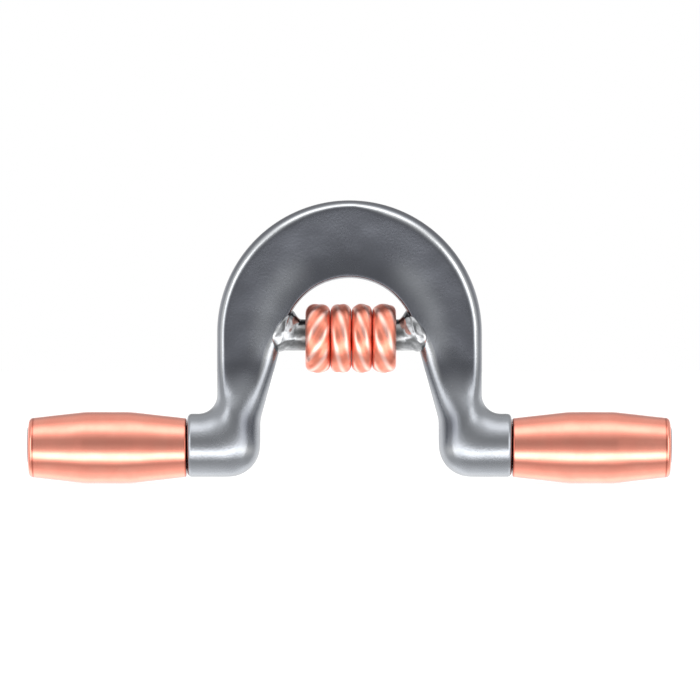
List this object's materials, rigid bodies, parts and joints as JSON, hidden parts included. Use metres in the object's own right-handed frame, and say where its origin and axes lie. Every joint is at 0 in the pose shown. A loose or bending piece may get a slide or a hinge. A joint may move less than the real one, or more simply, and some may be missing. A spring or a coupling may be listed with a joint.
{
  "type": "horse bit mouthpiece",
  "caption": "High wide port mouthpiece of a curb bit, with loose copper rings on a cross axle inside the port and a rolling copper barrel on each bar.",
  "frame": {"origin": "middle of the mouthpiece, level with the lowest line of the copper barrels", "axes": "+X along the bars towards the right barrel as seen from the front, +Z the way the port rises, -Y the front face"},
  "size_m": [0.127, 0.0142, 0.0558],
  "materials": {
    "port_steel": "satin cast stainless steel",
    "pin_steel": "turned stainless steel",
    "weld_steel": "bright polished weld and rod",
    "copper": "polished copper"
  },
  "bodies": {
    "mouthpiece": {"port": "port_steel", "left_bar_pin": "pin_steel", "right_bar_pin": "pin_steel", "roller_axle": "weld_steel", "left_axle_weld": "weld_steel", "right_axle_weld": "weld_steel"},
    "left_roller": {"left_barrel": "copper"},
    "right_roller": {"right_barrel": "copper"},
    "ring_1": {"roller_ring_1": "copper"},
    "ring_2": {"roller_ring_2": "copper"},
    "ring_3": {"roller_ring_3": "copper"},
    "ring_4": {"roller_ring_4": "copper"}
  },
  "joints": [
    {"name": "left_barrel_roll", "type": "hinge", "parent": "mouthpiece", "child": "left_roller", "pos_m": [-0.04765, 0, 0.00705], "axis": [1, 0, 0], "continuous": true},
    {"name": "right_barrel_roll", "type": "hinge", "parent": "mouthpiece", "child": "right_roller", "pos_m": [0.04765, 0, 0.00705], "axis": [1, 0, 0], "continuous": true},
    {"name": "ring_1_turn", "type": "hinge", "parent": "mouthpiece", "child": "ring_1", "pos_m": [-0.00623, 0, 0.0286], "axis": [1, 0, 0], "continuous": true},
    {"name": "ring_2_turn", "type": "hinge", "parent": "mouthpiece", "child": "ring_2", "pos_m": [-0.00168, 0, 0.0286], "axis": [1, 0, 0], "continuous": true},
    {"name": "ring_3_turn", "type": "hinge", "parent": "mouthpiece", "child": "ring_3", "pos_m": [0.00244, 0, 0.0286], "axis": [1, 0, 0], "continuous": true},
    {"name": "ring_4_turn", "type": "hinge", "parent": "mouthpiece", "child": "ring_4", "pos_m": [0.00682, 0, 0.0286], "axis": [1, 0, 0], "continuous": true}
  ]
}
